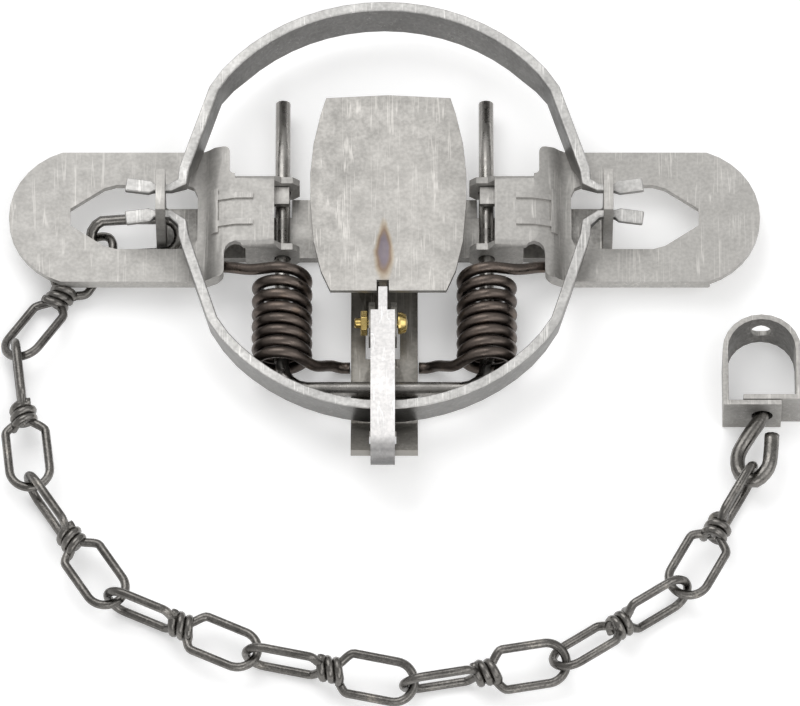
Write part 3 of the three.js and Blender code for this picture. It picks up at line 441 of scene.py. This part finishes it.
materials = {
    "plated_steel": plated("zinc_plate", (0.30, 0.292, 0.278), (0.385, 0.374, 0.356)),
    "jaw_steel": plated("jaw_plate", (0.32, 0.315, 0.306), (0.43, 0.423, 0.41),
                        rough=0.42, wall_shade=0.28),
    "spring_steel": dark_steel("spring_wire", (0.055, 0.047, 0.042), (0.11, 0.09, 0.078),
                               (0.19, 0.135, 0.095)),
    "chain_steel": dark_steel("chain_wire", (0.02, 0.019, 0.018), (0.13, 0.124, 0.116),
                              (0.3, 0.272, 0.233), rough=0.24, grain=(0.3, 1.7)),
    "brass": brass_metal(),
}
lever_plate = plated("lever_plate", (0.275, 0.267, 0.254), (0.36, 0.35, 0.333),
                     wall_shade=0.95, metallic=0.6)
own_materials = {
    "pan": plated("pan_plate", (0.285, 0.277, 0.262), (0.37, 0.358, 0.339),
                  rough=0.48, mark=heat_mark),
    "lever_left": lever_plate,
    "lever_right": lever_plate,
    # The dog is painted much lighter than the other zinc plate: a painted highlight of the light
    # its flat top reflects
    "dog": plated("dog_plate_painted_highlight", (0.54, 0.514, 0.497), (0.66, 0.632, 0.615),
                  rough=0.45, mark=curl_shade, wall_shade=0.28, metallic=0.75),
    # The cross plate is painted darker than the other zinc plate: partly painted shadow from the
    # dog above it
    "cross_plate": plated("cross_plate_painted_shadow", (0.13, 0.12, 0.10), (0.24, 0.23, 0.212),
                          rough=0.45, mark=lip_front_light, wall_shade=0.3),
    "spring_rod": dark_steel("rod_steel", (0.11, 0.106, 0.10), (0.27, 0.26, 0.245),
                             (0.32, 0.29, 0.25), rough=0.3),
}
slot_of = {part["node"]: part["material_slot"] for part in frame["record"]["subparts"]}


def paint(piece, material):
    """One material on the whole piece."""
    piece.data.materials.clear()
    piece.data.materials.append(material)


def soften(piece, width):
    """Rolled edges on a CAD node, by modifiers that leave its own mesh alone."""
    piece.data.shade_smooth()
    merge = piece.modifiers.new("merge", "WELD")
    merge.merge_threshold = WELD_DISTANCE
    if width:
        flatten = piece.modifiers.new("faces", "DECIMATE")
        flatten.decimate_type = "DISSOLVE"
        flatten.angle_limit = FLAT_ANGLE
        bevel = piece.modifiers.new("edges", "BEVEL")
        bevel.width = width * MM
        bevel.segments = BEVEL_SEGMENTS
        bevel.limit_method = "ANGLE"
        bevel.angle_limit = BEVEL_ANGLE
        piece.modifiers.new("shading", "WEIGHTED_NORMAL")


for node_name, node in nodes.items():
    paint(node, own_materials.get(node_name, materials[slot_of[node_name]]))
    soften(node, BEVELS.get(node_name))


# Springs

def coil_place(turned):
    """Place along Y of a spring's wire, so many degrees on from the inner end of its leg."""
    turns = (turned - SPRING_LEG_DROP) / 360
    whole = min(max(math.floor(turns), 0), len(COIL_SHARES) - 1)
    wires = sum(COIL_SHARES[:whole]) + (turns - whole) * COIL_SHARES[whole]
    return SPRING_REAR - wires * SPRING_WIRE


def spring_points(side):
    """The middle line of one spring; side is 1 on the right and -1 on the left."""
    turn_length = 2 * math.pi * SPRING_RADIUS
    lead_in = COIL_SHARES[0] * SPRING_WIRE / turn_length
    lead_out = COIL_SHARES[-1] * SPRING_WIRE / turn_length
    slope = math.tan(math.radians(SPRING_LEG_DROP))
    leg_x = SPRING_SPREAD + SPRING_RADIUS * math.sin(math.radians(SPRING_LEG_DROP))
    leg_z = SPRING_HEIGHT + SPRING_RADIUS * math.cos(math.radians(SPRING_LEG_DROP))
    leg_length = math.hypot(SPRING_LEG_END - leg_x, (SPRING_LEG_END - leg_x) * slope)
    points = []

    def bent(share):
        over = max(share - STRAIGHT_SHARE, 0) / (1 - STRAIGHT_SHARE)
        return over * over * (3 - 2 * over)

    for share in arc_between(1, 0, LEG_STEPS)[:-1]:
        x = leg_x + (SPRING_LEG_END - leg_x) * share
        y = coil_place(0) + lead_in * leg_length * share
        points.append((x, y + SPRING_LEG_SPLAY * bent(share), leg_z - (x - leg_x) * slope))
    sweep = SPRING_LEG_DROP + SPRING_FOOT_DROP + 360 * len(COIL_SHARES)
    for turned in arc_between(0, sweep, int(sweep / 360 * SPRING_STEPS)):
        angle = math.radians(SPRING_LEG_DROP - turned)
        points.append((SPRING_SPREAD + SPRING_RADIUS * math.sin(angle), coil_place(turned),
                       SPRING_HEIGHT + SPRING_RADIUS * math.cos(angle)))
    last_x, last_y, last_z = points[-1]
    bend = SPRING_FOOT_END + SPRING_WIRE
    foot_length = math.hypot(last_x - bend, last_z - SPRING_FOOT_HEIGHT)
    for share in arc_between(0, FOOT_SLOPE_SHARE, LEG_STEPS)[1:]:
        points.append((last_x + (bend - last_x) * share,
                       last_y - lead_out * foot_length * share + SPRING_FOOT_SPLAY * bent(share),
                       last_z + (SPRING_FOOT_HEIGHT - last_z) * share))
    foot_y = last_y - lead_out * foot_length + SPRING_FOOT_SPLAY
    for reach in FOOT_REACH_SHARES:
        points.append((SPRING_FOOT_END + SPRING_WIRE * reach, foot_y, SPRING_FOOT_HEIGHT))
    return [Vector((side * x, y, z)) for x, y, z in points]


for side, word in ((-1, "left"), (1, "right")):
    coil = tube(f"spring_{word}_wire", spring_points(side), SPRING_WIRE / 2, SPRING_SIDES)
    paint(coil, materials["spring_steel"])
    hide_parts(f"spring_{word}")
    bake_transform(coil)


# Chain

def loop_points(length, neck):
    """A loop of wire lying flat, its round end at 0 and its neck drawn in at length."""
    radius = LINK_WIDTH / 2
    round_end = [(radius - radius * math.cos(angle), radius * math.sin(angle))
                 for angle in arc_between(0, math.pi / 2, LOOP_STEPS)]
    straight = [(radius + (length * SHOULDER_START - radius) * share, radius)
                for share in STRAIGHT_SHARES]
    drawn = [(length * (SHOULDER_START + (SHOULDER_END - SHOULDER_START) * share),
              radius + (neck - radius) * (1 - math.cos(math.pi * share)) / 2)
             for share in arc_between(0, 1, SHOULDER_STEPS)[1:]]
    upper = round_end + straight + drawn + [(length, neck)]
    lower = [(x, -y) for x, y in reversed(upper[1:])]
    return upper, lower


def link_piece(name, span, start_roll, end_roll, untwist, heights):
    """One link along +X: a loop at each end and the wire wound round their necks."""
    def settle(points, rolls):
        placed = []
        for (x, y, z), roll in zip(points, rolls):
            angle = math.radians(roll)
            share = min(max(x / span, 0), 1) * 2
            rise = heights[0] + (heights[1] - heights[0]) * share
            if share > 1:
                rise = heights[1] + (heights[2] - heights[1]) * (share - 1)
            placed.append(Vector((x, y * math.cos(angle) - z * math.sin(angle),
                                  y * math.sin(angle) + z * math.cos(angle) + rise)))
        return placed

    upper, lower = loop_points(span / 2 + KNOT_WIRE, LINK_WIRE * NECK_SHARE)
    start = [(x, y, 0) for x, y in lower + upper]
    end = [(span - x, y, 0) for x, y in upper[::-1] + lower[::-1]]
    start_rolls = [start_roll * max(1 - max(x, 0) / untwist, 0) if untwist else start_roll
                   for x, _, _ in start]
    end_rolls = [end_roll] * len(end)
    loops = [tube(name + "_start", settle(start, start_rolls), LINK_WIRE / 2, LINK_SIDES),
             tube(name + "_end", settle(end, end_rolls), LINK_WIRE / 2, LINK_SIDES)]
    turns = []
    reach = KNOT_TURNS * KNOT_WIRE / 2
    for angle in arc_between(0, KNOT_TURNS * 2 * math.pi, KNOT_STEPS):
        y, z = KNOT_RADIUS * math.cos(angle), KNOT_RADIUS * math.sin(angle)
        x = span / 2 - reach + KNOT_WIRE * angle / (2 * math.pi) + KNOT_LEAN * z
        turns.append((x, y, z))
    turns = ([(turns[0][0], KNOT_RADIUS, -KNOT_END * share) for share in (1, 0.5)] + turns
             + [(x, y - KNOT_END * share * math.sin(angle), z + KNOT_END * share * math.cos(angle))
                for share in (0.5, 1)])
    knot_rolls = [start_roll] * len(turns)
    loops.append(tube(name + "_knot", settle(turns, knot_rolls), KNOT_WIRE / 2, LINK_SIDES))
    return join(name, loops)


link_names = [f"chain_link_{index + 1}" for index in range(LINK_COUNT)]
pivots = [Vector((*record_joints[name + "_hinge"]["pos_m"][:2], 0))
          for name in link_names + ["swivel_eye"]]
for index, name in enumerate(link_names):
    along = pivots[index + 1] - pivots[index]
    before = LINK_WIRE * (1 + SLACK_SHARES[index]) / 2
    after = LINK_WIRE * (1 + SLACK_SHARES[index + 1]) / 2
    span = along.length + before + after
    first = index == 0
    heights = FIRST_HEIGHTS if first else [CHAIN_HEIGHT] * 3
    piece = link_piece(name + "_wire", span, START_ROLLS[index], END_ROLLS[index],
                       FIRST_UNTWIST if first else 0, heights)
    origin = pivots[index] - along.normalized() * before
    turn = Matrix.Rotation(math.atan2(along.y, along.x), 4, "Z")
    piece.data.transform(Matrix.Translation(origin) @ turn)
    paint(piece, materials["chain_steel"])
    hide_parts(name)
    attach(piece, name)


# Stage, light and camera

def floor():
    """A pale sheet of paper under the trap, lit a little from within."""
    mesh = bpy.data.meshes.new("floor")
    corners = [(-FLOOR_HALF, -FLOOR_HALF, FLOOR_DROP), (FLOOR_HALF, -FLOOR_HALF, FLOOR_DROP),
               (FLOOR_HALF, FLOOR_HALF, FLOOR_DROP), (-FLOOR_HALF, FLOOR_HALF, FLOOR_DROP)]
    mesh.from_pydata(corners, [], [(0, 1, 2, 3)])
    plane = bpy.data.objects.new("floor", mesh)
    bpy.context.scene.collection.objects.link(plane)
    m = Nodes("paper")
    m.shader.inputs["Base Color"].default_value = (FLOOR_GREY, FLOOR_GREY, FLOOR_GREY, 1)
    m.shader.inputs["Roughness"].default_value = FLOOR_ROUGHNESS
    m.shader.inputs["Specular IOR Level"].default_value = FLOOR_SPECULAR
    m.shader.inputs["Emission Color"].default_value = (1, 1, 1, 1)
    m.shader.inputs["Emission Strength"].default_value = FLOOR_GLOW
    paint(plane, m.material)


def area_light(name, place, size, energy):
    """A round lamp that looks at the origin."""
    lamp = bpy.data.lights.new(name, "AREA")
    lamp.shape = "DISK"
    lamp.size = size
    lamp.energy = energy
    lit = bpy.data.objects.new(name, lamp)
    lit.location = place
    lit.rotation_euler = (-Vector(place)).to_track_quat("-Z", "Y").to_euler()
    bpy.context.scene.collection.objects.link(lit)


def camera():
    """The photograph's view, from far enough away to be nearly parallel."""
    lens = bpy.data.cameras.new("camera")
    lens.sensor_width = SENSOR
    lens.lens = SENSOR * VIEW_DISTANCE / VIEW_WIDTH
    lens.clip_start = CLIP_START
    eye = bpy.data.objects.new("camera", lens)
    look = Vector((0, math.cos(VIEW_ELEVATION), -math.sin(VIEW_ELEVATION)))
    rise = Vector((0, math.sin(VIEW_ELEVATION), math.cos(VIEW_ELEVATION)))
    target = Vector((VIEW_RIGHT, 0, 0)) + rise * VIEW_UP
    eye.location = target - look * VIEW_DISTANCE
    eye.rotation_euler = look.to_track_quat("-Z", "Y").to_euler()
    bpy.context.scene.collection.objects.link(eye)
    bpy.context.scene.camera = eye


floor()
for numbers in LIGHTS:
    area_light(*numbers)
world = bpy.data.worlds.new("studio")
world.use_nodes = True
world.node_tree.nodes["Background"].inputs["Color"].default_value = (1, 1, 1, 1)
world.node_tree.nodes["Background"].inputs["Strength"].default_value = WORLD_STRENGTH
bpy.context.scene.world = world
bpy.context.scene.view_settings.view_transform = "Standard"
camera()
